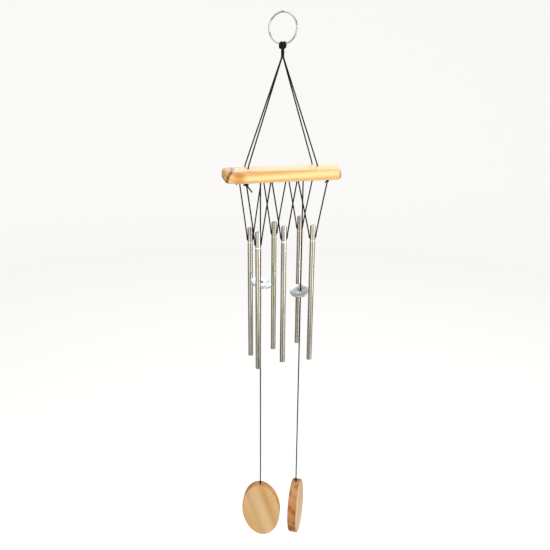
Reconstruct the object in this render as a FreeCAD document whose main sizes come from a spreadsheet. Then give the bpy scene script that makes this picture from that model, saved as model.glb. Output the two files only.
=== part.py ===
"""Wind chime: a wooden bar hung from a split ring, six tubes on cord slings, two washer
strikers and two oval wooden sails. Millimetres, +Z up, +X along the bar, +Y to the back.
The origin is the inside top of the split ring, where a hook carries the chime."""
import FreeCAD, Part
import math
import os
import Sketcher

Vector = FreeCAD.Vector
SIZES = {
    # split ring: outside diameter, wire, gap between its two turns, turn about the vertical
    "ring_outer": 26.0,
    "ring_wire": 1.2,
    "ring_pitch": 1.1,
    "ring_turn": -33.0,
    # knot that ties the hanger to the ring, and the bunch of strands under it
    "knot_wide": 6.2,
    "knot_deep": 5.0,
    "knot_reach": 4.4,
    "knot_rise": 1.6,
    "neck_wide": 2.4,
    "neck_end": 9.7,
    # bar: the middle of its underside lies bar_drop under the origin and bar_shift along X,
    # and it hangs with its right end a little high
    "bar_drop": 138.0,
    "bar_shift": -0.4,
    "bar_tilt": 1.15,
    "bar_deep": 48.0,
    "bar_thick": 11.4,
    "bar_crown": 105.0,
    "front_left": -54.5,
    "front_right": 50.0,
    "back_left": -51.5,
    "back_right": 61.0,
    "left_corner": 12.0,
    "right_corner": 4.5,
    "bar_top_round": 4.2,
    "bar_low_round": 2.6,
    # cords and the holes that hold them
    "cord": 1.0,
    "hanger_hole": 2.6,
    "hanger_recess": 4.8,
    "recess_deep": 5.0,
    "hanger_left": -31.9,
    "hanger_right": 32.7,
    "hanger_y": 7.9,
    "row_y": 18.9,
    "front_hole_1": -36.3,
    "front_hole_2": -13.3,
    "front_hole_3": 10.6,
    "front_hole_4": 39.2,
    "back_hole_1": -36.1,
    "back_hole_2": -13.0,
    "back_hole_3": 11.4,
    "back_hole_4": 37.9,
    "sling_hole": 2.8,
    "sling_hole_deep": 8.0,
    "sling_offset": 0.6,
    # tubes: their tops lie tube_drop_N under the middle of the bar's underside
    "tube_outer": 5.0,
    "tube_wall": 0.7,
    "tube_long": 135.0,
    "tube_hole": 1.8,
    "tube_hole_drop": 12.8,
    "tube_x_1": -25.1,
    "tube_x_2": -25.4,
    "tube_x_3": -1.3,
    "tube_x_4": -1.3,
    "tube_x_5": 24.6,
    "tube_x_6": 26.0,
    "tube_drop_1": 48.4,
    "tube_drop_2": 44.4,
    "tube_drop_3": 43.6,
    "tube_drop_4": 39.9,
    "tube_drop_5": 39.2,
    "tube_drop_6": 40.2,
    # strikers: a washer on a knot that lies knot_drop under the bar
    "striker_left": -19.0,
    "striker_right": 21.4,
    "washer_outer": 20.4,
    "washer_bore": 4.3,
    "washer_thick": 1.25,
    "washer_stand": 1.8,
    "striker_knot": 5.4,
    "link_long": 3.0,
    "knot_drop_left": 101.0,
    "knot_drop_right": 111.6,
    "washer_tilt_left": 16.4,
    "washer_tilt_right": 22.0,
    "washer_lean_left": -52.0,
    "washer_lean_right": -130.0,
    # sails: ovals that hang by the rim, sail_drop under the bar
    "sail_wide": 40.9,
    "sail_tall": 64.8,
    "sail_thick": 9.3,
    "sail_round": 1.2,
    "sail_knot": 2.6,
    "sail_gap": 0.3,
    "sail_hole": 2.4,
    "sail_hole_deep": 7.0,
    "sail_drop_left": 327.8,
    "sail_drop_right": 332.2,
    "sail_turn_left": -20.0,
    "sail_turn_right": 61.0,
    "sail_lean_left": -4.2,
    "sail_lean_right": 0.0,
    # how far the middle of each sail lies to the right of its hole
    "sail_shift_left": 0.9,
    "sail_shift_right": 0.0,
}
GAP = 0.3  # space between pieces that move on one another

doc = FreeCAD.newDocument("wind_chime")
sheet = doc.addObject("Spreadsheet::Sheet", "sizes")
for row, (alias, value) in enumerate(SIZES.items(), 1):
    sheet.set(f"A{row}", alias)
    sheet.set(f"B{row}", str(value))
    sheet.setAlias(f"B{row}", alias)
doc.recompute()

nodes = []


def size(alias):
    """The value of one cell of the sheet."""
    return float(getattr(sheet, alias))


def finish(thing, name, base=Vector(), turn=FreeCAD.Rotation()):
    """Label a sub-part, put it in place and count it among the nodes."""
    thing.Label = name
    thing.Placement = FreeCAD.Placement(base, turn)
    nodes.append(thing)
    return thing


def feature(name, shape, base=Vector(), turn=FreeCAD.Rotation()):
    """A sub-part whose shape is set directly."""
    thing = doc.addObject("Part::Feature", name)
    thing.Shape = shape
    return finish(thing, name, base, turn)


def sketch_on(body, role, name):
    """A new sketch on one of the body's own origin planes."""
    sketch = body.newObject("Sketcher::SketchObject", name)
    plane = [face for face in body.Origin.OriginFeatures if face.Role == role][0]
    sketch.AttachmentSupport = (plane, "")
    sketch.MapMode = "FlatFace"
    return sketch


def add_circle(sketch, diameter, x=0.0, y=0.0):
    """A circle whose diameter follows the sheet cell (or expression) given."""
    index = sketch.addGeometry(Part.Circle(Vector(x, y, 0), Vector(0, 0, 1), 1.0), False)
    rule = sketch.addConstraint(Sketcher.Constraint("Diameter", index, 2.0))
    sketch.setExpression(f"Constraints[{rule}]", diameter)
    return index


def edge_names(shape, keep):
    """The names of the edges that keep() picks."""
    return [f"Edge{n}" for n, edge in enumerate(shape.Edges, 1) if keep(edge)]


def fillet(body, base, name, radius, keep):
    """Round the edges of base that keep() picks, to the radius in a sheet cell."""
    rounded = body.newObject("PartDesign::Fillet", name)
    rounded.Base = (base, edge_names(base.Shape, keep))
    rounded.setExpression("Radius", "sizes." + radius)
    doc.recompute()
    return rounded


def tube_along(points, radius):
    """A round cord through the points, each corner an arc as large as its runs allow."""
    runs = [b - a for a, b in zip(points, points[1:])]
    edges = []
    start = points[0]
    section = math.pi * radius ** 2
    for here, before, after in zip(points[1:-1], runs, runs[1:]):
        turn = before.getAngle(after)
        reach = 0.45 * min(before.Length, after.Length)
        one = Vector(before).normalize()
        two = Vector(after).normalize()
        middle = (two - one).normalize()
        bend = reach / math.tan(turn / 2)
        inside = here + middle * (bend / math.cos(turn / 2) - bend)
        edges.append(Part.LineSegment(start, here - one * reach).toShape())
        edges.append(Part.Arc(here - one * reach, inside, here + two * reach).toShape())
        start = here + two * reach
        print(f"  bend radius {bend:.2f}")
    edges.append(Part.LineSegment(start, points[-1]).toShape())
    return sweep(edges, radius, section)


def sweep(edges, radius, section):
    """Sweep a circle along tangent edges, and compare the volume with area times length."""
    path = Part.Wire(edges)
    first = edges[0]
    start = first.valueAt(first.FirstParameter)
    along = first.tangentAt(first.FirstParameter)
    ring = Part.Wire([Part.Circle(start, along, radius).toShape()])
    shape = path.makePipeShell([ring], True, False)
    expected = section * path.Length
    if abs(shape.Volume - expected) > 0.01 * expected:
        raise ValueError(f"cord volume {shape.Volume:.2f}, expected {expected:.2f}")
    return shape


def straight_cord(low, high, radius, round_low=False, round_high=False):
    """A straight cord between two points, with a ball end where it pivots."""
    way = high - low
    shape = Part.makeCylinder(radius, way.Length, low, way)
    for point, wanted in ((low, round_low), (high, round_high)):
        if wanted:
            shape = shape.fuse(Part.makeSphere(radius, point))
    return shape.removeSplitter()


# ---- places that several pieces share ----
cord_radius = size("cord") / 2
ring_middle = Vector(0, 0, -size("ring_outer") / 2 + size("ring_wire"))
ring_mean = (size("ring_outer") - size("ring_wire")) / 2
wire_low = ring_middle - Vector(0, 0, ring_mean)
ring_turned = FreeCAD.Rotation(Vector(0, 0, 1), size("ring_turn"))
ring_across = ring_turned.multVec(Vector(1, 0, 0))
ring_axis = ring_turned.multVec(Vector(0, 1, 0))
bar_middle = Vector(size("bar_shift"), 0, -size("bar_drop"))
bar_turned = FreeCAD.Rotation(Vector(0, 1, 0), -size("bar_tilt"))
HOLES = (1, 2, 3, 4)
SIDES = (("left", -1), ("right", 1))
ROWS = (("back", 1), ("front", -1))


def on_bar(x, y, rise):
    """A point in the bar's own directions, from the middle of its underside."""
    return bar_middle + bar_turned.multVec(Vector(x, y, rise))


def below(x, y, drop):
    """A point straight below the middle of the bar's underside, moved by x and y."""
    return bar_middle + Vector(x, y, -drop)


# ---- split ring: two turns of wire side by side ----
turns = []
for number, side in enumerate((-0.5, 0.5), 1):
    turn_of_wire = doc.addObject("Part::Torus", f"ring_turn_{number}")
    turn_of_wire.setExpression("Radius1", "(sizes.ring_outer - sizes.ring_wire) / 2")
    turn_of_wire.setExpression("Radius2", "sizes.ring_wire / 2")
    turn_of_wire.Placement = FreeCAD.Placement(
        Vector(0, side * size("ring_pitch"), 0), FreeCAD.Rotation(Vector(1, 0, 0), 90)
    )
    turns.append(turn_of_wire)
split_ring = doc.addObject("Part::MultiFuse", "split_ring_wire")
split_ring.Shapes = turns
finish(split_ring, "split_ring", ring_middle, ring_turned)

# ---- knot round the wire: a lump with a round underside and a passage for the wire ----
wrap = Part.makeCylinder(size("knot_reach"), size("knot_wide"), Vector(0, 0, -size("knot_wide") / 2))
wrap.rotate(Vector(), Vector(0, 1, 0), 90)
wrap = wrap.makeFillet(1.4, wrap.Edges)
trim = Part.makeBox(
    size("knot_wide"), size("knot_deep"), size("knot_reach") + size("knot_rise"),
    Vector(-size("knot_wide") / 2, -size("knot_deep") / 2, -size("knot_reach")),
)
trim = trim.makeFillet(1.2, trim.Edges)
passage = Part.makeTorus(
    ring_mean, size("ring_wire") / 2 + size("ring_pitch") / 2 + 0.08,
    Vector(0, 0, ring_mean), Vector(0, 1, 0),
)
feature("ring_knot", wrap.common(trim).cut(passage), wire_low, ring_turned)

# ---- neck: the four strands bunched under the knot; it swings about the ring's wire ----
neck_top = size("knot_reach") + GAP
neck = Part.makeCylinder(
    size("neck_wide") / 2, size("neck_end") - neck_top,
    wire_low - Vector(0, 0, size("neck_end")),
)
feature("hanger_neck", neck)

# ---- bar: a board with a low crown on top, its right end cut aslant ----
bar = doc.addObject("PartDesign::Body", "bar_body")
half_deep = size("bar_deep") / 2


def closed_outline(sketch, points):
    """Straight sides joining the points in turn, back to the first."""
    lines = [
        sketch.addGeometry(Part.LineSegment(a, b), False)
        for a, b in zip(points, points[1:] + points[:1])
    ]
    for line, following in zip(lines, lines[1:] + lines[:1]):
        sketch.addConstraint(Sketcher.Constraint("Coincident", line, 2, following, 1))
    return lines


outline = sketch_on(bar, "XY_Plane", "bar_outline")
sides = closed_outline(outline, [
    Vector(size("front_left"), -half_deep, 0), Vector(size("front_right"), -half_deep, 0),
    Vector(size("back_right"), half_deep, 0), Vector(size("back_left"), half_deep, 0),
])
for corner, (along, across) in zip(sides, (
    ("sizes.front_left", "-sizes.bar_deep / 2"), ("sizes.front_right", "-sizes.bar_deep / 2"),
    ("sizes.back_right", "sizes.bar_deep / 2"), ("sizes.back_left", "sizes.bar_deep / 2"),
)):
    point = outline.getPoint(corner, 1)
    for kind, value, cell in (("DistanceX", point.x, along), ("DistanceY", point.y, across)):
        rule = outline.addConstraint(Sketcher.Constraint(kind, -1, 1, corner, 1, value))
        outline.setExpression(f"Constraints[{rule}]", cell)
board = bar.newObject("PartDesign::Pad", "bar_board")
board.Profile = outline
board.setExpression("Length", "sizes.bar_thick")
doc.recompute()

crown = sketch_on(bar, "YZ_Plane", "bar_crown_cut")
reach = half_deep + 2
edge_height = size("bar_thick") - size("bar_crown") + math.sqrt(size("bar_crown") ** 2 - reach ** 2)
above = size("bar_thick") + 5
closed = closed_outline(crown, [
    Vector(reach, edge_height, 0), Vector(reach, above, 0),
    Vector(-reach, above, 0), Vector(-reach, edge_height, 0),
])
crown.delGeometry(closed[3])
arch = crown.addGeometry(
    Part.Arc(
        Vector(-reach, edge_height, 0), Vector(0, size("bar_thick"), 0), Vector(reach, edge_height, 0)
    ),
    False,
)
crown.addConstraint(Sketcher.Constraint("Coincident", arch, 1, 0, 1))
crown.addConstraint(Sketcher.Constraint("Coincident", arch, 2, 2, 2))
before_crown = bar.Shape.Volume
crowned = bar.newObject("PartDesign::Pocket", "bar_crowned")
crowned.Profile = crown
crowned.Midplane = True
crowned.Type = 1
doc.recompute()
if not bar.Shape.Volume < before_crown:
    raise ValueError("the crown cut nothing")


def upright_on(side):
    """Picks the upright corner edges at one end of the bar."""
    def picked(edge):
        box = edge.BoundBox
        return box.ZLength > size("bar_thick") * 0.6 and side * box.Center.x > 0
    return picked


def on_top(edge):
    return edge.BoundBox.ZMin > size("bar_thick") * 0.6


def at_bottom(edge):
    return edge.BoundBox.ZMax < 0.01


left_end = fillet(bar, crowned, "bar_left_end", "left_corner", upright_on(-1))
right_end = fillet(bar, left_end, "bar_right_end", "right_corner", upright_on(1))
topped = fillet(bar, right_end, "bar_top_edge", "bar_top_round", on_top)
lowered = fillet(bar, topped, "bar_low_edge", "bar_low_round", at_bottom)


def drill(body, name, circles, depth):
    """Drill holes up from the underside: circles of (x, y, diameter) to a depth, or through."""
    before = body.Shape.Volume
    sketch = sketch_on(body, "XY_Plane", name + "_places")
    for x, y, diameter in circles:
        index = add_circle(sketch, "sizes." + diameter, x, y)
        sketch.addConstraint(Sketcher.Constraint("Block", index))
    pocket = body.newObject("PartDesign::Pocket", name)
    pocket.Profile = sketch
    pocket.Reversed = True
    if depth is None:
        pocket.Type = 1
    else:
        pocket.setExpression("Length", "sizes." + depth)
    doc.recompute()
    if not body.Shape.Volume < before:
        raise ValueError(f"{name} cut nothing")
    return pocket


hanger_places = [
    (size(f"hanger_{side_name}"), y * size("hanger_y")) for side_name, _ in SIDES for y in (-1, 1)
]
sling_places = [
    (size(f"{row_name}_hole_{n}"), y * size("row_y")) for row_name, y in ROWS for n in HOLES
]
striker_places = [(size(f"striker_{side_name}"), 0.0) for side_name, _ in SIDES]
drill(bar, "hanger_holes", [(x, y, "hanger_hole") for x, y in hanger_places], None)
drill(bar, "hanger_recesses", [(x, y, "hanger_recess") for x, y in hanger_places], "recess_deep")
drill(
    bar, "cord_holes",
    [(x, y, "sling_hole") for x, y in sling_places + striker_places], "sling_hole_deep",
)
finish(bar, "bar", bar_middle, bar_turned)

# ---- hanger: four strands from the neck to the bar, each knotted in its recess ----
neck_foot = wire_low - Vector(0, 0, size("neck_end") + GAP)
bar_top = size("bar_thick") - 0.3
KNOT_RADIUS = 2.0  # of the knots hidden in the bar's recesses
for row_name, row_side in ROWS:
    for side_name, side in SIDES:
        x = size(f"hanger_{side_name}")
        y = row_side * size("hanger_y")
        top = neck_foot + Vector(side * 0.62, row_side * 0.55, -cord_radius)
        foot = on_bar(x, y, size("recess_deep") - 0.4)
        strand = tube_along([top, on_bar(x, y, bar_top), foot], cord_radius)
        feature(f"hanger_cord_{row_name}_{side_name}", strand)
        ball = Part.makeSphere(KNOT_RADIUS)
        feature(f"hanger_knot_{row_name}_{side_name}", ball, on_bar(x, y, KNOT_RADIUS + 0.8))

# ---- cord ends glued into the blind holes of the bar ----
GLUED_FROM = 3.0  # how far up the hole the glued part starts


def cord_plug(name, x, y, offsets):
    """The glued end of a cord in its hole, with a cord leaving it at each offset."""
    plug = Part.makeCylinder(
        size("sling_hole") / 2 - 0.15, size("sling_hole_deep") - GLUED_FROM - 0.2,
        Vector(0, 0, GLUED_FROM),
    )
    for offset in offsets:
        low = Vector(offset, 0, cord_radius)
        plug = plug.fuse(straight_cord(low, low + Vector(0, 0, GLUED_FROM), cord_radius))
    feature(name, plug.removeSplitter(), on_bar(x, y, 0), bar_turned)


for row_name, row_side in ROWS:
    for n in HOLES:
        # the end holes hold one cord and the others hold one to each side
        offsets = [side * size("sling_offset") for side in (-1, 1) if 1 <= n + side <= 4]
        x = size(f"{row_name}_hole_{n}")
        cord_plug(f"cord_plug_{row_name}_{n}", x, row_side * size("row_y"), offsets)
for side_name, side in SIDES:
    cord_plug(f"cord_plug_striker_{side_name}", size(f"striker_{side_name}"), 0, [0])

# ---- tubes and their slings ----
# tube 1, 3 and 5 hang in the back row and 2, 4 and 6 in the front row, from left to right
TUBES = [(n, (n - 1) // 2, 1 if n % 2 else -1) for n in range(1, 7)]


def make_tube(number, row_side):
    body = doc.addObject("PartDesign::Body", f"tube_body_{number}")
    ends = sketch_on(body, "XY_Plane", f"tube_section_{number}")
    add_circle(ends, "sizes.tube_outer")
    add_circle(ends, "sizes.tube_outer - 2 * sizes.tube_wall")
    ends.addConstraint(Sketcher.Constraint("Coincident", 0, 3, -1, 1))
    ends.addConstraint(Sketcher.Constraint("Coincident", 1, 3, -1, 1))
    pipe = body.newObject("PartDesign::Pad", f"tube_pipe_{number}")
    pipe.Profile = ends
    pipe.Reversed = True
    pipe.setExpression("Length", "sizes.tube_long")
    doc.recompute()
    solid = body.Shape.Volume
    side = sketch_on(body, "YZ_Plane", f"tube_hole_place_{number}")
    add_circle(side, "sizes.tube_hole", 0, -size("tube_hole_drop"))
    side.addConstraint(Sketcher.Constraint("PointOnObject", 0, 3, -2))
    drop = side.addConstraint(Sketcher.Constraint("DistanceY", 0, 3, -1, 1, size("tube_hole_drop")))
    side.setExpression(f"Constraints[{drop}]", "sizes.tube_hole_drop")
    cross = body.newObject("PartDesign::Pocket", f"tube_holes_{number}")
    cross.Profile = side
    cross.Midplane = True
    cross.Type = 1
    doc.recompute()
    if not body.Shape.Volume < solid:
        raise ValueError("the tube's cross holes cut nothing")
    drop = size(f"tube_drop_{number}")
    place = below(size(f"tube_x_{number}"), row_side * size("row_y"), drop)
    finish(body, f"tube_{number}", place)
    return place


BEND = 1.0  # radius of the cord where it turns over the edge of the tube's hole
CORD_RISE = 0.15  # the cord lies this much above the middle of the cross hole


def make_sling(number, column, row_name, row_side, tube_top):
    """One cord down to a tube, through its cross holes and back up to the next hole."""
    level = tube_top.z - size("tube_hole_drop") + CORD_RISE
    wall = (size("tube_outer") - size("tube_wall")) / 2
    legs = []
    for side in (-1, 1):
        hole = column + (1 if side < 0 else 2)
        x = size(f"{row_name}_hole_{hole}") - side * size("sling_offset")
        end = on_bar(x, row_side * size("row_y"), -GAP)
        centre = Vector(tube_top.x + side * wall, tube_top.y, level + BEND)
        # the leg leaves the arc along its tangent, turned this far out of the upright
        reach = end - centre
        lean = math.asin(BEND / reach.Length) * -1 + math.atan2(side * reach.x, reach.z)
        leave = centre + Vector(side * math.cos(lean), 0, -math.sin(lean)) * BEND
        half_turn = (math.pi / 2 - lean) / 2
        middle = centre + Vector(side * math.sin(half_turn), 0, -math.cos(half_turn)) * BEND
        legs.append((end, leave, middle, centre - Vector(0, 0, BEND)))
    (left_end, left_leave, left_middle, left_low), (end, leave, middle, low) = legs
    edges = [
        Part.LineSegment(left_end, left_leave).toShape(),
        Part.Arc(left_leave, left_middle, left_low).toShape(),
        Part.LineSegment(left_low, low).toShape(),
        Part.Arc(low, middle, leave).toShape(),
        Part.LineSegment(leave, end).toShape(),
    ]
    cord = sweep(edges, cord_radius, math.pi * cord_radius ** 2)
    for point in (end, left_end):
        cord = cord.fuse(Part.makeSphere(cord_radius, point))
    feature(f"tube_cord_{number}", cord.removeSplitter())


for number, column, row_side in TUBES:
    row_name = "back" if row_side > 0 else "front"
    make_sling(number, column, row_name, row_side, make_tube(number, row_side))


def end_knot(row_name, side_name, wide, tall, tail):
    """A knot round the end of a row's cord, with the cut end of the cord as its tail."""
    left = side_name == "left"
    inward = size("sling_offset") * (1 if left else -1)
    x = size(f"{row_name}_hole_{1 if left else 4}") + inward
    row_side = 1 if row_name == "back" else -1
    # a wide knot lies lower, so that its rim clears the bar as the cord swings
    top = on_bar(x, row_side * size("row_y"), -GAP - tall / 2 - 0.1 * wide)
    lump = Part.makeCylinder(wide / 2, tall, Vector(0, 0, -tall / 2))
    lump = lump.makeFillet(tall * 0.4, [edge for edge in lump.Edges if edge.Closed])
    lump = lump.fuse(straight_cord(Vector(), Vector(*tail), cord_radius * 0.95))
    feature(f"row_knot_{row_name}_{side_name}", lump, top)


end_knot("back", "left", 2.6, 2.2, (-2.4, -0.6, -3.6))
end_knot("front", "left", 5.6, 1.9, (4.9, -0.8, -6.4))
end_knot("front", "right", 2.8, 1.5, (-2.6, -0.5, -0.9))
end_knot("back", "right", 2.6, 2.2, (2.0, 0.8, -1.7))

# ---- strikers and sails ----
LINK_GAP = 2 * cord_radius + GAP


def make_washer(side_name, knot_place):
    body = doc.addObject("PartDesign::Body", f"washer_body_{side_name}")
    outline = sketch_on(body, "XY_Plane", f"washer_outline_{side_name}")
    outline.AttachmentOffset = FreeCAD.Placement(
        Vector(0, 0, size("washer_stand")), FreeCAD.Rotation()
    )
    add_circle(outline, "sizes.washer_outer")
    add_circle(outline, "sizes.washer_bore")
    outline.addConstraint(Sketcher.Constraint("Coincident", 0, 3, -1, 1))
    outline.addConstraint(Sketcher.Constraint("Coincident", 1, 3, -1, 1))
    plate = body.newObject("PartDesign::Pad", f"washer_plate_{side_name}")
    plate.Profile = outline
    plate.setExpression("Length", "sizes.washer_thick")
    doc.recompute()
    lean = math.radians(size(f"washer_lean_{side_name}"))
    about = Vector(-math.sin(lean), math.cos(lean), 0)
    turn = FreeCAD.Rotation(about, size(f"washer_tilt_{side_name}"))
    finish(body, f"striker_{side_name}", knot_place, turn)


def make_sail(side_name, hang):
    """An oval sail whose hole lies under the point hang."""
    body = doc.addObject("PartDesign::Body", f"sail_body_{side_name}")
    lean = math.radians(size(f"sail_lean_{side_name}"))
    half_wide = size("sail_wide") / 2
    half_tall = size("sail_tall") / 2
    # distance from the middle of the leaning oval to its rim straight above
    rim = 1 / math.hypot(math.cos(lean) / half_tall, math.sin(lean) / half_wide)
    below = size("sail_knot") / 2 + size("sail_gap") + rim
    face = sketch_on(body, "XZ_Plane", f"sail_outline_{side_name}")
    long_end = Vector(math.sin(lean), math.cos(lean), 0) * half_tall
    short_end = Vector(math.cos(lean), -math.sin(lean), 0) * half_wide
    middle = Vector(size(f"sail_shift_{side_name}"), -below, 0)
    face.addGeometry(Part.Ellipse(middle + long_end, middle + short_end, middle), False)
    board = body.newObject("PartDesign::Pad", f"sail_board_{side_name}")
    board.Profile = face
    board.Midplane = True
    board.setExpression("Length", "sizes.sail_thick")
    doc.recompute()
    fillet(body, board, f"sail_edge_{side_name}", "sail_round", lambda edge: edge.Length > 50)
    whole = body.Shape.Volume
    mouth = sketch_on(body, "XY_Plane", f"sail_hole_place_{side_name}")
    add_circle(mouth, "sizes.sail_hole")
    mouth.addConstraint(Sketcher.Constraint("Coincident", 0, 3, -1, 1))
    hole = body.newObject("PartDesign::Pocket", f"sail_hole_{side_name}")
    hole.Profile = mouth
    hole.setExpression("Length", "sizes.sail_hole_deep + sizes.sail_knot / 2 + sizes.sail_gap")
    doc.recompute()
    if not body.Shape.Volume < whole:
        raise ValueError("the sail's hole cut nothing")
    turn = FreeCAD.Rotation(Vector(0, 0, 1), size(f"sail_turn_{side_name}"))
    finish(body, f"sail_{side_name}", hang, turn)


for side_name, side in SIDES:
    x = size(f"striker_{side_name}")
    mouth = on_bar(x, 0, 0)
    link_top = mouth - Vector(0, 0, GAP)
    link_low = link_top - Vector(0, 0, size("link_long"))
    link = straight_cord(link_low, link_top, cord_radius, True, True)
    feature(f"striker_link_{side_name}", link)
    knot_place = Vector(mouth.x, 0, bar_middle.z - size(f"knot_drop_{side_name}"))
    knot_radius = size("striker_knot") / 2
    cord_top = link_low - Vector(0, 0, LINK_GAP)
    cord_low = knot_place + Vector(0, 0, knot_radius + 0.15)
    feature(
        f"striker_cord_{side_name}",
        straight_cord(cord_low, cord_top, cord_radius, round_high=True),
    )
    feature(f"striker_knot_{side_name}", Part.makeSphere(knot_radius), knot_place)
    make_washer(side_name, knot_place)
    sail_place = Vector(mouth.x, 0, bar_middle.z - size(f"sail_drop_{side_name}"))
    sail_top = knot_place - Vector(0, 0, knot_radius + GAP + cord_radius)
    sail_low = sail_place + Vector(0, 0, size("sail_knot") / 2 + 0.15)
    feature(
        f"sail_cord_{side_name}",
        straight_cord(sail_low, sail_top, cord_radius, round_high=True),
    )
    feature(f"sail_knot_{side_name}", Part.makeSphere(size("sail_knot") / 2), sail_place)
    make_sail(side_name, sail_place)

# ---- check and write ----
doc.recompute()
for thing in doc.Objects:
    if any(word in thing.State for word in ("Invalid", "Error")):
        raise ValueError(f"{thing.Name} failed: {thing.State}")
os.makedirs("parts", exist_ok=True)
for thing in nodes:
    shape = thing.Shape
    if shape.isNull() or not shape.isValid():
        raise ValueError(f"{thing.Label} has no valid shape")
    shape.exportStep(f"parts/{thing.Label}.step")
    print(f"{thing.Label}: {len(shape.Solids)} solid, {shape.Volume:.1f} mm3")
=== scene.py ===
"""Wind chime in metres: the fixed frame from the CAD pack, with its cords, knots, split ring and
washers modelled finely, wood and metal finishes, a pale round room, studio lights and the camera."""

import math

import bmesh
import bpy
from mathutils import Matrix, Vector


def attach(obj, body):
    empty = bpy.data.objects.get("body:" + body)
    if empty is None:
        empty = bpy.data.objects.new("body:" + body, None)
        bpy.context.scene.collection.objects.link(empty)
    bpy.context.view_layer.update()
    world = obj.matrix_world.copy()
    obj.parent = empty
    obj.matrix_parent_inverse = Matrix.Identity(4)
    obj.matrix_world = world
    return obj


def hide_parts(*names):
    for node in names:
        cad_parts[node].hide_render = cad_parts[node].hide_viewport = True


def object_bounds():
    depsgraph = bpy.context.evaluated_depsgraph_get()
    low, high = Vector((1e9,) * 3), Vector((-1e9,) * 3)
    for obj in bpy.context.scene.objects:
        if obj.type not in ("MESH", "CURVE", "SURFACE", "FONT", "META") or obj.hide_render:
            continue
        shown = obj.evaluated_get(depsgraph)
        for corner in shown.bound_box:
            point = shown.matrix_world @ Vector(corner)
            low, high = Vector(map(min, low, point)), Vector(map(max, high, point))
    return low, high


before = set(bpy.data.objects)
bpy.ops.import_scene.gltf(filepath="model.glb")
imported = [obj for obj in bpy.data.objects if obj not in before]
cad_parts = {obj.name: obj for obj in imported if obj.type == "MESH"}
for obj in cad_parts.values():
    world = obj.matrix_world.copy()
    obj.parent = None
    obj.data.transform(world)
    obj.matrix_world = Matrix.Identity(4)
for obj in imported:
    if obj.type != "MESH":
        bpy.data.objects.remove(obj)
cad_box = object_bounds()
MM = 0.001
CORD = 1.35 * MM  # over the strands
RING_TURN = math.radians(-33)  # how far the ring and its hitch are turned from the bar's length


# ---- camera, room and lights ----
def stand_camera():
    """A 35 mm lens in front of the chime and to its left, at the height of its upper part."""
    stand = (-0.12395, -0.477, -0.0745)
    yaw, pitch, roll = math.radians(14.0), math.radians(17.55), math.radians(0.5)
    ahead = Vector((
        math.sin(yaw) * math.cos(pitch), math.cos(yaw) * math.cos(pitch), -math.sin(pitch),
    ))
    level = Vector((math.cos(yaw), -math.sin(yaw), 0))
    upright = level.cross(ahead)
    right = level * math.cos(roll) + upright * math.sin(roll)
    up = upright * math.cos(roll) - level * math.sin(roll)
    lens = bpy.data.cameras.new("camera")
    lens.lens = 35.01
    lens.sensor_width = 36
    lens.clip_start = 0.01
    camera = bpy.data.objects.new("camera", lens)
    facing = Matrix((right, up, -ahead)).transposed().to_4x4()
    camera.matrix_world = Matrix.Translation(stand) @ facing
    bpy.context.collection.objects.link(camera)
    bpy.context.scene.camera = camera


def linear(code):
    """A linear colour from an sRGB hex value such as C8A06A."""
    parts = [int(code[n:n + 2], 16) / 255 for n in (0, 2, 4)]
    return (*((c / 12.92 if c <= 0.04045 else ((c + 0.055) / 1.055) ** 2.4) for c in parts), 1)


def add(material, kind, inputs=None, stops=None, **settings):
    """Add one node: its settings, its inputs (values or other nodes' outputs), its colour stops."""
    tree = material.node_tree
    made = tree.nodes.new(kind)
    for name, value in settings.items():
        setattr(made, name, value)
    if stops:
        ramp = made.color_ramp.elements
        while len(ramp) < len(stops):
            ramp.new(0.5)
        for element, (place, colour) in zip(ramp, stops):
            element.position = place
            element.color = linear(colour)
    for name, value in (inputs or {}).items():
        if isinstance(value, bpy.types.NodeSocket):
            tree.links.new(value, made.inputs[name])
        else:
            made.inputs[name].default_value = value
    return made


def new_finish(name):
    """An empty material, with no nodes yet."""
    material = bpy.data.materials.new(name)
    material.use_nodes = True
    material.node_tree.nodes.clear()
    return material


def hang_lamp(name, place, towards, size, power, colour="FFFFFF", gloss_only=False):
    """A soft rectangular lamp; one that is gloss only shows in polish and metal."""
    light = bpy.data.lights.new(name, "AREA")
    light.shape = "RECTANGLE"
    light.size, light.size_y = size
    light.energy = power
    light.color = linear(colour)[:3]
    lamp = bpy.data.objects.new(name, light)
    way = Vector(towards) - Vector(place)
    turn = way.to_track_quat("-Z", "Y").to_matrix().to_4x4()
    lamp.matrix_world = Matrix.Translation(place) @ turn
    lamp.visible_camera = False
    lamp.visible_diffuse = not gloss_only
    bpy.context.collection.objects.link(lamp)


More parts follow.
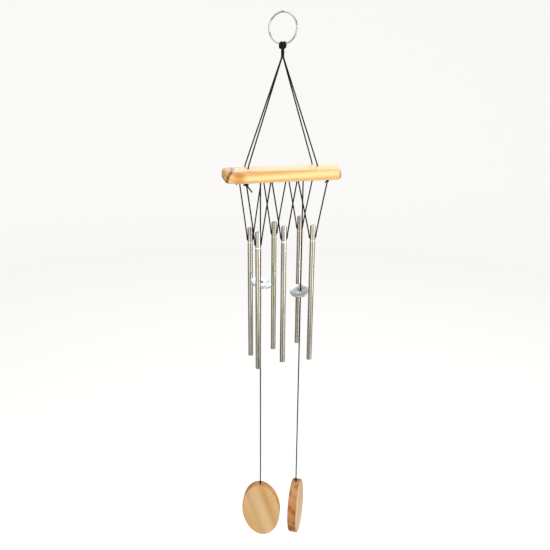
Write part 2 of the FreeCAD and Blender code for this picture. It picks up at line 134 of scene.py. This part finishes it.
def set_stage():
    """A round room of white paper, floor and wall in one, with soft lamps in front, above and
    behind."""
    bpy.context.scene.view_settings.view_transform = "Standard"
    # matt white paper, with a glow of its own that keeps it nearly white
    paper = new_finish("white_paper")
    shader = add(paper, "ShaderNodeBsdfPrincipled", {
        "Base Color": linear("BCBCBB"), "Roughness": 0.9,
        "Emission Color": linear("FFFFFF"), "Emission Strength": 0.7,
    })
    add(paper, "ShaderNodeOutputMaterial", {"Surface": shader.outputs["BSDF"]})
    sheet = bmesh.new()
    wall, wall_top, bend = 2.2, 2.2, 0.5
    floor = cad_box[0].z - 0.12
    profile = [(0, floor), (wall - bend, floor)]
    profile += [
        (wall - bend + bend * math.sin(turn), floor + bend * (1 - math.cos(turn)))
        for turn in (math.radians(9 * step) for step in range(1, 11))
    ]
    profile.append((wall, wall_top))
    corners = [sheet.verts.new((0, y, z)) for y, z in profile]
    edges = [sheet.edges.new(pair) for pair in zip(corners, corners[1:])]
    bmesh.ops.spin(
        sheet, geom=corners + edges, cent=(0, 0, 0), axis=(0, 0, 1), dvec=(0, 0, 0),
        angle=math.tau, steps=72, use_merge=True,
    )
    bmesh.ops.remove_doubles(sheet, verts=sheet.verts, dist=1e-6)
    bmesh.ops.recalc_face_normals(sheet, faces=sheet.faces)
    bmesh.ops.reverse_faces(sheet, faces=sheet.faces)
    mesh = bpy.data.meshes.new("paper_sweep")
    sheet.to_mesh(mesh)
    sheet.free()
    mesh.polygons.foreach_set("use_smooth", [True] * len(mesh.polygons))
    mesh.materials.append(paper)
    sweep = bpy.data.objects.new("paper_sweep", mesh)
    bpy.context.collection.objects.link(sweep)
    # metal mirrors the dim room and the lamps, which gives it dark edges against the paper
    sweep.visible_glossy = False
    # and the lamps alone light the chime, so that the paper can be nearly white
    sweep.visible_diffuse = False

    world = bpy.data.worlds.new("studio")
    world.use_nodes = True
    air = world.node_tree.nodes["Background"]
    air.inputs["Color"].default_value = linear("8C8A86")
    air.inputs["Strength"].default_value = 1.5
    bpy.context.scene.world = world
    middle = (0, 0, -0.25)
    hang_lamp("fill_left", (-0.62, -0.6, -0.15), middle, (0.62, 1.1), 3.6, "FFFCF6")
    hang_lamp("key_right", (0.6, -0.7, -0.15), middle, (0.5, 1.1), 7.0, "FFFCF7")
    hang_lamp("top", (0.0, -0.25, 0.6), middle, (0.8, 0.6), 2.4)
    hang_lamp("back_high", (0.35, 1.1, 0.35), middle, (1.4, 0.9), 9.5, "F4F8FF", gloss_only=True)


stand_camera()
set_stage()


# ---- finishes ----
def varnished_pine(name, turned, pith, rings_scale, light, dark, marks=None):
    """Pine, planed and varnished: pale early wood between soft darker rings along the grain."""
    material = new_finish(name)
    place = add(material, "ShaderNodeTexCoord").outputs["Object"]
    # the grain is laid along X, with the pith on the axis, before it is drawn out 20 times
    grain = add(material, "ShaderNodeMapping", {
        "Vector": place, "Location": pith, "Rotation": turned,
    }).outputs["Vector"]
    laid = add(material, "ShaderNodeMapping", {
        "Vector": grain, "Scale": (0.05, 1, 1),
    }).outputs["Vector"]
    # one growth ring is 314 mm / scale: 4 mm in the bar, 17 mm in the sails
    rings = add(material, "ShaderNodeTexWave", {
        "Vector": laid, "Scale": rings_scale, "Distortion": 2.6, "Detail": 2.5,
        "Detail Scale": 0.35, "Detail Roughness": 0.55,
    }, wave_type="RINGS", rings_direction="X", wave_profile="SIN").outputs["Fac"]
    tone = add(material, "ShaderNodeValToRGB", {"Fac": rings}, stops=[
        (0.0, light[0]), (0.45, light[1]), (0.8, dark[0]), (1.0, dark[1]),
    ]).outputs["Color"]
    # fibres about 0.4 mm wide and 8 mm long
    fine = add(material, "ShaderNodeTexNoise", {
        "Vector": laid, "Scale": 2400, "Detail": 3, "Roughness": 0.6,
    }).outputs["Fac"]
    fibre = add(material, "ShaderNodeMapRange", {
        "Value": fine, "From Min": 0.3, "From Max": 0.7, "To Min": 0.88, "To Max": 1.05,
    }).outputs["Result"]
    colour = add(material, "ShaderNodeMix", {0: 1.0, 6: tone, 7: fibre}, data_type="RGBA",
                 blend_type="MULTIPLY").outputs[2]
    # a cloud of colour a few centimetres across, as from the sap
    cloud = add(material, "ShaderNodeTexNoise", {
        "Vector": laid, "Scale": 60, "Detail": 2,
    }).outputs["Fac"]
    warm = add(material, "ShaderNodeValToRGB", {"Fac": cloud}, stops=[
        (0.35, "FFFFFF"), (0.68, "F0D2A4"),
    ]).outputs["Color"]
    colour = add(material, "ShaderNodeMix", {0: 0.8, 6: colour, 7: warm}, data_type="RGBA",
                 blend_type="MULTIPLY").outputs[2]
    if marks:
        colour = marks(material, place, colour)
    relief = add(material, "ShaderNodeBump", {
        "Height": fine, "Strength": 0.25, "Distance": 0.00012,
    }).outputs["Normal"]
    shader = add(material, "ShaderNodeBsdfPrincipled", {
        "Base Color": colour, "Roughness": 0.5, "Coat Weight": 0.12, "Coat Roughness": 0.3,
        "Normal": relief,
    })
    add(material, "ShaderNodeOutputMaterial", {"Surface": shader.outputs["BSDF"]})
    return material


def bar_marks(material, place, colour):
    """Marks painted on the bar's ends: brown ends, a dark ring line on the left, a patch."""
    parts = add(material, "ShaderNodeSeparateXYZ", {"Vector": place}).outputs
    flat = add(material, "ShaderNodeCombineXYZ", {
        "X": parts["X"], "Z": parts["Z"],
    }).outputs["Vector"]
    # how far a point is from the middle of the dark ring line, and from the middle of the patch
    ring, near = (
        add(material, "ShaderNodeVectorMath", {
            0: point, 1: middle,
        }, operation="DISTANCE").outputs["Value"]
        for point, middle in ((flat, (-0.0415, 0, -0.1375)), (place, (-0.043, -0.0235, -0.1335)))
    )
    # the right end is cut aslant
    aslant = add(material, "ShaderNodeVectorMath", {
        0: place, 1: (1, -0.22, 0),
    }, operation="DOT_PRODUCT").outputs["Value"]
    # each of these goes from 0 to 1 between two distances in metres; the ring is 22 mm across
    left, outside, ring_in, ring_out, patch, right = (
        add(material, "ShaderNodeMapRange", {
            "Value": value, "From Min": start, "From Max": end,
        }).outputs["Result"]
        for value, start, end in (
            (parts["X"], -0.0425, -0.0440), (ring, 0.0106, 0.0120), (ring, 0.0098, 0.0108),
            (ring, 0.0124, 0.0113), (near, 0.0075, 0.002), (aslant, 0.0515, 0.0545),
        )
    )
    # the ring is a line about 1.6 mm wide, and the left end is a little browner outside it
    line = add(material, "ShaderNodeMath", {
        0: ring_in, 1: ring_out,
    }, operation="MULTIPLY").outputs["Value"]
    outside, line = (
        add(material, "ShaderNodeMath", {0: amount, 1: left}, operation="MULTIPLY").outputs["Value"]
        for amount in (outside, line)
    )
    for amount, stain in (
        (outside, "EBD2B4"), (line, "96673E"), (patch, "E3B583"), (right, "C9975F"),
    ):
        colour = add(material, "ShaderNodeMix", {
            0: amount, 6: colour, 7: linear(stain),
        }, data_type="RGBA", blend_type="MULTIPLY").outputs[2]
    return colour


def sail_marks(hole, across, stain, patches):
    """Marks for one sail: its sawn rim is browner than its faces and darker in patches."""
    def marked(material, place, colour):
        reach = add(material, "ShaderNodeVectorMath", {
            0: place, 1: hole,
        }, operation="SUBTRACT").outputs["Vector"]
        depth = add(material, "ShaderNodeVectorMath", {
            0: reach, 1: across,
        }, operation="DOT_PRODUCT").outputs["Value"]
        depth = add(material, "ShaderNodeMath", {0: depth}, operation="ABSOLUTE").outputs["Value"]
        # patches about 9 mm long
        cloud = add(material, "ShaderNodeTexNoise", {
            "Vector": place, "Scale": 110, "Detail": 1,
        }).outputs["Fac"]
        rim, patch = (
            add(material, "ShaderNodeMapRange", {
                "Value": value, "From Min": start, "From Max": end,
            }).outputs["Result"]
            for value, start, end in ((depth, 0.00464, 0.0044), (cloud, 0.5, 0.62))
        )
        patch = add(material, "ShaderNodeMath", {
            0: patch, 1: rim,
        }, operation="MULTIPLY").outputs["Value"]
        for amount, tone in ((rim, stain), (patch, patches)):
            colour = add(material, "ShaderNodeMix", {
                0: amount, 6: colour, 7: linear(tone),
            }, data_type="RGBA", blend_type="MULTIPLY").outputs[2]
        return colour
    return marked


def drawn_tube(name, colour, roughness, hole_height, bright):
    """Drawn aluminium tube, warm and satin, with light and dark lines along its length."""
    material = new_finish(name)
    place = add(material, "ShaderNodeTexCoord").outputs["Object"]
    # draw lines about 1.1 mm apart and 50 mm long, coarser than the real ones so that they show
    laid = add(material, "ShaderNodeMapping", {
        "Vector": place, "Scale": (1, 1, 0.02),
    }).outputs["Vector"]
    lines = add(material, "ShaderNodeTexNoise", {
        "Vector": laid, "Scale": 900, "Detail": 2, "Roughness": 0.5,
    }).outputs["Fac"]
    tone = add(material, "ShaderNodeValToRGB", {"Fac": lines}, stops=[
        (0.36, colour[1]), (0.6, colour[0]),
    ]).outputs["Color"]
    # a ring 1.2 mm tall just under the cord's hole is painted matt white: a painted highlight
    height = add(material, "ShaderNodeSeparateXYZ", {"Vector": place}).outputs["Z"]
    foot, head = (
        add(material, "ShaderNodeMapRange", {
            "Value": height, "From Min": hole_height - start, "From Max": hole_height - end,
        }).outputs["Result"]
        for start, end in ((0.0026, 0.0023), (0.0011, 0.0014))
    )
    highlight_band = add(material, "ShaderNodeMath", {
        0: foot, 1: head,
    }, operation="MULTIPLY").outputs["Value"]
    highlight_band = add(material, "ShaderNodeMath", {
        0: highlight_band, 1: bright,
    }, operation="MULTIPLY").outputs["Value"]
    # painted highlight: white mixed in over the band
    tone = add(material, "ShaderNodeMix", {
        0: highlight_band, 6: tone, 7: linear("FFFFFF"),
    }, data_type="RGBA").outputs[2]
    metal = add(material, "ShaderNodeMapRange", {
        "Value": highlight_band, "To Min": 1.0, "To Max": 0.0,
    }).outputs["Result"]
    rough = add(material, "ShaderNodeMapRange", {
        "Value": lines, "From Min": 0.3, "From Max": 0.7,
        "To Min": roughness - 0.02, "To Max": roughness + 0.02,
    }).outputs["Result"]
    shader = add(material, "ShaderNodeBsdfPrincipled", {
        "Base Color": tone, "Metallic": metal, "Roughness": rough,
    })
    add(material, "ShaderNodeOutputMaterial", {"Surface": shader.outputs["BSDF"]})
    return material


def plated_steel(name, colour, roughness, grain):
    """Plated steel: bright and cool, clouded in patches a few millimetres across."""
    material = new_finish(name)
    place = add(material, "ShaderNodeTexCoord").outputs["Object"]
    cloud = add(material, "ShaderNodeTexNoise", {
        "Vector": place, "Scale": grain, "Detail": 4, "Roughness": 0.55,
    }).outputs["Fac"]
    tone = add(material, "ShaderNodeValToRGB", {"Fac": cloud}, stops=[
        (0.32, colour[0]), (0.66, colour[1]),
    ]).outputs["Color"]
    rough = add(material, "ShaderNodeMapRange", {
        "Value": cloud, "To Min": roughness - 0.05, "To Max": roughness + 0.1,
    }).outputs["Result"]
    # brush marks about 0.3 mm apart
    marks = add(material, "ShaderNodeTexNoise", {
        "Vector": place, "Scale": 2600, "Detail": 2,
    }).outputs["Fac"]
    relief = add(material, "ShaderNodeBump", {
        "Height": marks, "Strength": 0.2, "Distance": 0.00003,
    }).outputs["Normal"]
    shader = add(material, "ShaderNodeBsdfPrincipled", {
        "Base Color": tone, "Metallic": 1.0, "Roughness": rough, "Normal": relief,
    })
    add(material, "ShaderNodeOutputMaterial", {"Surface": shader.outputs["BSDF"]})
    return material


def waxed_cord(name):
    """Black waxed polyester cord: dull black, hardly glossy on its fibres."""
    material = new_finish(name)
    place = add(material, "ShaderNodeTexCoord").outputs["Object"]
    # fibres about 0.1 mm across
    fibres = add(material, "ShaderNodeTexNoise", {
        "Vector": place, "Scale": 5000, "Detail": 2,
    }).outputs["Fac"]
    tone = add(material, "ShaderNodeValToRGB", {"Fac": fibres}, stops=[
        (0.35, "060608"), (0.65, "161618"),
    ]).outputs["Color"]
    relief = add(material, "ShaderNodeBump", {
        "Height": fibres, "Strength": 0.4, "Distance": 0.00005,
    }).outputs["Normal"]
    shader = add(material, "ShaderNodeBsdfPrincipled", {
        "Base Color": tone, "Roughness": 0.66, "Specular IOR Level": 0.22, "Normal": relief,
    })
    add(material, "ShaderNodeOutputMaterial", {"Surface": shader.outputs["BSDF"]})
    return material


bar_pine = varnished_pine(
    "varnished_pine_bar", (0, math.radians(2.2), 0), (0, 0.006, 0.155), 78,
    ("FEEBB0", "FDE3A2"), ("F8D28F", "EDBB74"), bar_marks,
)
sail_pine_left = varnished_pine(
    "varnished_pine_left", (0, math.radians(110), 0), (0, 0.02, -0.155), 18,
    ("E8C795", "E4C18E"), ("E1BC88", "D9B27F"),
    sail_marks((-0.0194, 0, -0.4658), (0.342, 0.940, 0), "F3DDBE", "F0D8B8"),
)
sail_pine_right = varnished_pine(
    "varnished_pine_right", (math.radians(12), math.radians(95), 0), (0, -0.02, -0.02), 18,
    ("F6DFBC", "F1D7B2"), ("EACDA2", "DFBF94"),
    sail_marks((0.021, 0, -0.4702), (-0.875, 0.485, 0), "D8B48A", "DDB48C"),
)
TUBE_TONES = {
    # tube: its two tones, its roughness, the height of its cord's hole in metres, and how strong
    # its painted highlight band is
    1: (("C9C7BE", "8F8A7E"), 0.27, -0.1992, 0.7),
    2: (("CCCAC2", "918B81"), 0.26, -0.1952, 0.95),
    3: (("C4C2B4", "A29E8C"), 0.28, -0.1944, 0.35),
    4: (("CCCAC2", "918B81"), 0.26, -0.1907, 0.95),
    5: (("C4BFB6", "948C82"), 0.28, -0.1900, 0.2),
    6: (("C9C7BD", "918B81"), 0.27, -0.1910, 0.4),
}
zinc = plated_steel("zinc_plated_steel", ("EEF3F7", "DCE4EA"), 0.36, 350)
nickel = plated_steel("nickel_plated_steel", ("C9CACA", "A9ABAC"), 0.14, 500)
cord_black = waxed_cord("waxed_polyester_cord")


def refinish(node, material):
    """Give a CAD node that stays a finish of its own."""
    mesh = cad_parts[node].data
    for index in range(len(mesh.materials)):
        mesh.materials[index] = material
    if not mesh.materials:
        mesh.materials.append(material)


refinish("bar", bar_pine)
refinish("sail_left", sail_pine_left)
refinish("sail_right", sail_pine_right)
for number, tones in TUBE_TONES.items():
    refinish(f"tube_{number}", drawn_tube(f"drawn_aluminium_{number}", *tones))
for row in ("back", "front"):
    for number in range(1, 5):
        refinish(f"cord_plug_{row}_{number}", cord_black)
for side in ("left", "right"):
    refinish(f"cord_plug_striker_{side}", cord_black)


# ---- making and placing pieces ----
def place_piece(name, mesh, material, slot, body, *nodes):
    """Put a finished mesh in the scene, on its body, in place of its CAD nodes."""
    mesh.materials.clear()
    mesh.materials.append(material)
    mesh.polygons.foreach_set("use_smooth", [True] * len(mesh.polygons))
    piece = bpy.data.objects.new(name, mesh)
    bpy.context.collection.objects.link(piece)
    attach(piece, body)
    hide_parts(*nodes)
    return piece


def curve_mesh(routes, thick, closed=False, straight=False, sides=2):
    """A mesh of round cord along one or more routes of points; with no thickness, their lines."""
    curve = bpy.data.curves.new("route", "CURVE")
    curve.dimensions = "3D"
    curve.resolution_u = 16
    curve.bevel_depth = thick / 2
    curve.bevel_resolution = sides
    curve.use_fill_caps = True
    for route in routes:
        spline = curve.splines.new("POLY" if straight else "NURBS")
        spline.points.add(len(route) - 1)
        for point, place in zip(spline.points, route):
            point.co = (*place, 1)
        spline.use_cyclic_u = closed
        if not straight:
            spline.order_u = 4 if closed else 3
            spline.use_endpoint_u = not closed
    holder = bpy.data.objects.new("route", curve)
    mesh = bpy.data.meshes.new_from_object(holder)
    bpy.data.objects.remove(holder)
    bpy.data.curves.remove(curve)
    return mesh


def route_line(route):
    """The smooth line that a cord's route gives, as points."""
    mesh = curve_mesh([route], 0)
    line = [vertex.co.copy() for vertex in mesh.vertices]
    bpy.data.meshes.remove(mesh)
    return line


def even_steps(line, step):
    """Points a step apart along a line."""
    found = [line[0]]
    left = step
    for a, b in zip(line, line[1:]):
        run = (b - a).length
        gone = 0.0
        while run - gone >= left:
            gone += left
            found.append(a.lerp(b, gone / run))
            left = step
        left -= run - gone
    if (found[-1] - line[-1]).length > step / 3:
        found.append(line[-1])
    return found


def laid_cord(line, across, strands=3, lay=2.8):
    """Twisted cord along a line: strands wound round it, one turn in lay millimetres."""
    step = lay / 9 * MM
    steps = even_steps(line, step)
    # strands this wide press into each other a little, as in a tightly laid cord
    width = across * 0.6
    away = (across - width) / 2
    tangents = [
        (b - a).normalized()
        for a, b in zip([steps[0], *steps[:-1]], [*steps[1:], steps[-1]])
    ]
    tangents[0] = (steps[1] - steps[0]).normalized()
    side = tangents[0].orthogonal().normalized()
    sides = []
    for tangent in tangents:
        side = (side - tangent * side.dot(tangent)).normalized()
        sides.append(side.copy())
    routes = []
    for strand in range(strands):
        route = []
        for n, (point, tangent, side) in enumerate(zip(steps, tangents, sides)):
            turn = math.tau * (n * step / (lay * MM) + strand / strands)
            other = tangent.cross(side)
            route.append(point + (side * math.cos(turn) + other * math.sin(turn)) * away)
        routes.append(route)
    return curve_mesh(routes, width, straight=True)


def overhand_knot(middle, across, tall, cord, spin=0.0):
    """The three crossing loops of a pulled-tight knot, round its middle."""
    points = 18
    reach = (across - cord) / 6
    rise = (tall - cord) / 2
    route = []
    for n in range(points):
        turn = math.tau * n / points
        place = Vector((
            (math.sin(turn) + 2 * math.sin(2 * turn)) * reach,
            (math.cos(turn) - 2 * math.cos(2 * turn)) * reach,
            -math.sin(3 * turn) * rise,
        ))
        route.append(Matrix.Rotation(spin, 3, "Z") @ place + Vector(middle))
    return curve_mesh([route], cord, closed=True, sides=3)


def joined(*meshes):
    """One mesh from several."""
    whole = bmesh.new()
    for mesh in meshes:
        whole.from_mesh(mesh)
        bpy.data.meshes.remove(mesh)
    made = bpy.data.meshes.new("joined")
    whole.to_mesh(made)
    whole.free()
    return made


# ---- split ring: one wire wound twice round, its ends and the step between turns at the top ----
def wound_ring():
    """Two turns of round wire, the second in front of the first."""
    middle = Vector((0, 0, -11.8)) * MM
    # the coil's middle radius, the wire, the step from turn to turn, how proud the free end is
    mean, wire, pitch, flare = 12.4 * MM, 1.25 * MM, 1.1 * MM, 0.8 * MM
    coil = bmesh.new()
    bmesh.ops.create_circle(coil, segments=12, radius=wire / 2, cap_ends=True)
    # the section stands at the top left, a little behind the middle plane
    upright = Matrix.Rotation(math.radians(90), 4, "Y")
    out = Matrix.Translation((0, pitch / 2, mean + flare))
    start = Matrix.Rotation(math.radians(-8), 4, "Y") @ out
    bmesh.ops.transform(coil, matrix=start @ upright, verts=coil.verts)
    part = list(coil.verts) + list(coil.edges) + list(coil.faces)
    # the free end comes down to the coil, goes round, steps to the front and goes round again
    for turned, shifted, lowered, steps in (
        (14, 0.0, -flare, 6), (331, 0.0, 0.0, 88), (30, -pitch, 0.0, 12), (345, 0.0, 0.0, 92),
    ):
        made = bmesh.ops.spin(
            coil, geom=part, cent=(0, 0, 0), axis=(0, 1, 0),
            dvec=(0, shifted / steps, lowered / steps), angle=math.radians(turned), steps=steps,
            use_merge=False,
        )
        part = made["geom_last"]
    bmesh.ops.remove_doubles(coil, verts=coil.verts, dist=1e-7)
    bmesh.ops.recalc_face_normals(coil, faces=coil.faces)
    turn = Matrix.Rotation(RING_TURN, 4, "Z")
    bmesh.ops.transform(coil, matrix=Matrix.Translation(middle) @ turn, verts=coil.verts)
    mesh = bpy.data.meshes.new("split_ring_coil")
    coil.to_mesh(mesh)
    coil.free()
    return mesh


place_piece("split_ring_coil", wound_ring(), nickel, "ring_steel", "ring", "split_ring")


# ---- hitch: cord wound over the ring's two wires, and a belt of cord under them ----
def ring_hitch():
    """Six turns side by side over the wires, and two belts round the turns, in millimetres."""
    wire_low = Vector((0, 0, -24.2)) * MM
    turn = Matrix.Rotation(RING_TURN, 3, "Z")
    routes = []
    # each turn's place along the wires, how high it stands over them and how deep it is
    for x, top, deep in (
        (-2.35, 1.35, 1.85), (-1.35, 1.75, 2.1), (-0.4, 1.4, 2.2), (0.5, 1.4, 2.2),
        (1.4, 1.75, 2.1), (2.35, 1.35, 1.85),
    ):
        bottom = -4.0 + 0.12 * x * x
        loop = []
        for n in range(12):
            angle = math.tau * n / 12
            z = (top + bottom) / 2 + (top - bottom) / 2 * math.sin(angle)
            point = Vector((x + 0.25 * math.sin(angle), deep * math.cos(angle), z))
            loop.append(turn @ (point * MM) + wire_low)
        routes.append(loop)
    for z, wide in ((-1.9, 2.75), (-2.8, 2.6)):
        belt = (
            Vector((wide * math.cos(a), 2.35 * math.sin(a), z + 0.3 * math.sin(a + 0.5)))
            for a in (math.tau * n / 14 for n in range(14))
        )
        routes.append([turn @ (point * MM) + wire_low for point in belt])
    return curve_mesh(routes, 1.05 * MM, closed=True)


place_piece("ring_hitch", ring_hitch(), cord_black, "cord", "hitch", "ring_knot")


# ---- neck: the four strands side by side, whipped with thin cord ----
def whipped_neck():
    """The four strands between the hitch and the place where they part."""
    top, foot = -27.9, -34.3
    strands = []
    for x, y in ((-0.6, 0.55), (0.6, 0.55), (-0.6, -0.55), (0.6, -0.55)):
        line = [
            Vector((x, y, top)) * MM, Vector((x * 1.02, y, (top + foot) / 2)) * MM,
            Vector((x * 1.05, y, foot)) * MM,
        ]
        strands.append(laid_cord(route_line(line), CORD))
    turns = [
        Vector((1.28 * math.cos(a), 1.22 * math.sin(a), -29.6 - 0.5 * a / math.tau)) * MM
        for a in (math.tau * n / 14 for n in range(14 * 5))
    ]
    return joined(*strands, curve_mesh([turns], 0.5 * MM, straight=True, sides=1))


place_piece("whipped_neck", whipped_neck(), cord_black, "cord", "neck", "hanger_neck")


# ---- cords ----
def cord_piece(name, route, body, length, lay, *nodes):
    """A twisted cord, 1.35 mm over its strands, along its route; its length and lay are not used."""
    line = route_line(route)
    piece = place_piece(name, laid_cord(line, CORD), cord_black, "cord", body, *nodes)
    return piece


HANGER_ROUTES = {
    "back_left": [
        (-0.00062, 0.00055, -0.0347), (-0.03058, 0.00745, -0.12188),
        (-0.03252, 0.0079, -0.12754), (-0.03239, 0.0079, -0.13404),
    ],
    "front_left": [
        (-0.00062, -0.00055, -0.0347), (-0.03058, -0.00745, -0.12188),
        (-0.03252, -0.0079, -0.12754), (-0.03239, -0.0079, -0.13404),
    ],
    "back_right": [
        (0.00062, 0.00055, -0.0347), (0.03013, 0.00745, -0.12059),
        (0.03207, 0.0079, -0.12625), (0.0322, 0.0079, -0.13274),
    ],
    "front_right": [
        (0.00062, -0.00055, -0.0347), (0.03013, -0.00745, -0.12059),
        (0.03207, -0.0079, -0.12625), (0.0322, -0.0079, -0.13274),
    ],
}
HANGER_LENGTH = 0.1045
for corner, route in HANGER_ROUTES.items():
    cord_piece(
        f"hanger_strand_{corner}", route, "bar", HANGER_LENGTH, "taut", f"hanger_cord_{corner}",
    )
    foot = Vector(route[-1]) - Vector((0, 0, 1.8 * MM))
    place_piece(
        f"hanger_stopper_{corner}", overhand_knot(foot, 3.9 * MM, 3.4 * MM, 1.2 * MM), cord_black,
        "cord", "bar", f"hanger_knot_{corner}",
    )

SLING_ROUTES = {
    1: [(-0.03589, 0.0189, -0.13901), (-0.02845, 0.0189, -0.1931), (-0.0286, 0.0189, -0.19955),
        (-0.0224, 0.0189, -0.19955), (-0.02245, 0.0189, -0.19312), (-0.01399, 0.0189, -0.13857)],
    2: [(-0.03609, -0.0189, -0.13902), (-0.02879, -0.0189, -0.18911), (-0.0289, -0.0189, -0.19555),
        (-0.0227, -0.0189, -0.19555), (-0.02269, -0.0189, -0.18913), (-0.01429, -0.0189, -0.13858)],
    3: [(-0.01279, 0.0189, -0.13855), (-0.00478, 0.0189, -0.18832), (-0.0048, 0.0189, -0.19475),
        (0.0014, 0.0189, -0.19475), (0.00147, 0.0189, -0.18834), (0.0104, 0.0189, -0.13808)],
    4: [(-0.01309, -0.0189, -0.13855), (-0.00487, -0.0189, -0.18464), (-0.0048, -0.0189, -0.19105),
        (0.0014, -0.0189, -0.19105), (0.00145, -0.0189, -0.18463), (0.0096, -0.0189, -0.1381)],
    5: [(0.0116, 0.0189, -0.13806), (0.0209, 0.0189, -0.18396), (0.0211, 0.0189, -0.19035),
        (0.0273, 0.0189, -0.19035), (0.0275, 0.0189, -0.18396), (0.0369, 0.0189, -0.13755)],
    6: [(0.0108, -0.0189, -0.13808), (0.02209, -0.0189, -0.18501), (0.0225, -0.0189, -0.19135),
        (0.0287, -0.0189, -0.19135), (0.02887, -0.0189, -0.18496), (0.0382, -0.0189, -0.13753)],
}
# the smooth line cuts the corners at the tube, which makes it about this much shorter than its runs
CORNERS_CUT = 0.003
for number, route in SLING_ROUTES.items():
    runs = sum((Vector(b) - Vector(a)).length for a, b in zip(route, route[1:]))
    length = runs - CORNERS_CUT
    cord_piece(f"sling_{number}", route, f"sling_{number}", length, "taut", f"tube_cord_{number}")


def end_knot(name, middle, across, tall, tail, number, node):
    """The knot at the end of a row of cord, with the cut end sticking out of it, in millimetres."""
    start = Vector(middle) * MM
    tip = start + Vector(tail) * MM
    bend = start.lerp(tip, 0.5) + Vector((0, 0, 0.25)) * MM
    knot = overhand_knot(start, across * MM, tall * MM, CORD, spin=0.4)
    loose = laid_cord(route_line([start, bend, tip]), CORD)
    place_piece(name, joined(knot, loose), cord_black, "cord", f"sling_{number}", node)


END_KNOTS = {
    # corner: middle, width, height, the cut end from the middle, the sling that the knot rides on
    "back_left": ((-35.86, 18.9, -140.37), 2.9, 2.3, (-2.6, -0.6, -4.8), 1),
    "front_left": ((-36.06, -18.9, -140.2), 5.8, 2.2, (4.9, -0.8, -6.4), 2),
    "front_right": ((38.22, -18.9, -138.56), 3.0, 1.8, (-2.6, -0.5, -0.9), 6),
    "back_right": ((36.93, 18.9, -138.91), 2.9, 2.3, (2.0, 0.8, -1.7), 5),
}
for corner, facts in END_KNOTS.items():
    end_knot(f"end_knot_{corner}", *facts, f"row_knot_{corner}")


# ---- strikers: a link, the cord, a knot and the penny washer that rests on it ----
def penny_washer(knot_place, tilt, lean):
    """A pressed washer, 20.4 mm across with a 4.3 mm bore, its upper edges rolled."""
    # radii, and heights over the middle of the knot that it rests on
    bore, rim, low, high = 2.15, 10.2, 1.8, 3.05
    outline = [
        (bore, low + 0.08), (bore + 0.08, low), (rim - 0.1, low), (rim, low + 0.12),
        (rim, high - 0.34), (rim - 0.1, high - 0.12), (rim - 0.32, high), (bore + 0.28, high),
        (bore + 0.08, high - 0.08), (bore, high - 0.28),
    ]
    disc = bmesh.new()
    corners = [disc.verts.new(Vector((x, 0, z)) * MM) for x, z in outline]
    edges = [disc.edges.new(pair) for pair in zip(corners, corners[1:] + corners[:1])]
    bmesh.ops.spin(
        disc, geom=corners + edges, cent=(0, 0, 0), axis=(0, 0, 1), dvec=(0, 0, 0),
        angle=math.tau, steps=96, use_merge=True,
    )
    bmesh.ops.remove_doubles(disc, verts=disc.verts, dist=1e-7)
    bmesh.ops.recalc_face_normals(disc, faces=disc.faces)
    about = Vector((-math.sin(lean), math.cos(lean), 0))
    turn = Matrix.Rotation(tilt, 4, about)
    bmesh.ops.transform(disc, matrix=Matrix.Translation(knot_place) @ turn, verts=disc.verts)
    mesh = bpy.data.meshes.new("penny_washer")
    disc.to_mesh(mesh)
    disc.free()
    return mesh


STRIKERS = {
    # side: x, link low and high, knot height, tilt, lean, sail knot height (mm and degrees)
    "left": (-19.4, -141.7, -138.4, -239.0, 16.4, -52.0, -465.8),
    "right": (21.0, -140.9, -137.6, -249.6, 22.0, -130.0, -470.2),
}
for side, (x, link_low, link_high, knot_z, tilt, lean, sail_z) in STRIKERS.items():
    def at(z):
        """A point on this striker's line."""
        return Vector((x, 0, z)) * MM

    link_line = [at(link_high), at((link_high + link_low) / 2), at(link_low - 0.9)]
    place_piece(
        f"striker_link_cord_{side}", laid_cord(route_line(link_line), CORD), cord_black,
        "cord", f"link_{side}", f"striker_link_{side}",
    )
    cord_piece(
        f"striker_strand_{side}",
        [tuple(at(link_low - 0.7)), tuple(at((link_low + knot_z) / 2)), tuple(at(knot_z + 1.6))],
        f"strand_{side}", (link_low - knot_z - 2.3) * MM, "hanging", f"striker_cord_{side}",
    )
    knot = overhand_knot(at(knot_z), 5.5 * MM, 4.9 * MM, 1.75 * MM, spin=0.5)
    place_piece(
        f"striker_stopper_{side}", knot, cord_black,
        "cord", f"striker_knot_{side}", f"striker_knot_{side}",
    )
    washer = penny_washer(at(knot_z), math.radians(tilt), math.radians(lean))
    place_piece(
        f"washer_{side}", washer, zinc, "washer_zinc", f"striker_{side}", f"striker_{side}",
    )
    cord_piece(
        f"sail_strand_{side}",
        [tuple(at(knot_z - 2.9)), tuple(at((knot_z + sail_z) / 2)), tuple(at(sail_z + 0.9))],
        f"sail_cord_{side}", (knot_z - sail_z - 3.8) * MM, "hanging", f"sail_cord_{side}",
    )
    knot = overhand_knot(at(sail_z), 2.9 * MM, 2.6 * MM, 1.0 * MM)
    place_piece(
        f"sail_stopper_{side}", knot, cord_black,
        "cord", f"sail_knot_{side}", f"sail_knot_{side}",
    )
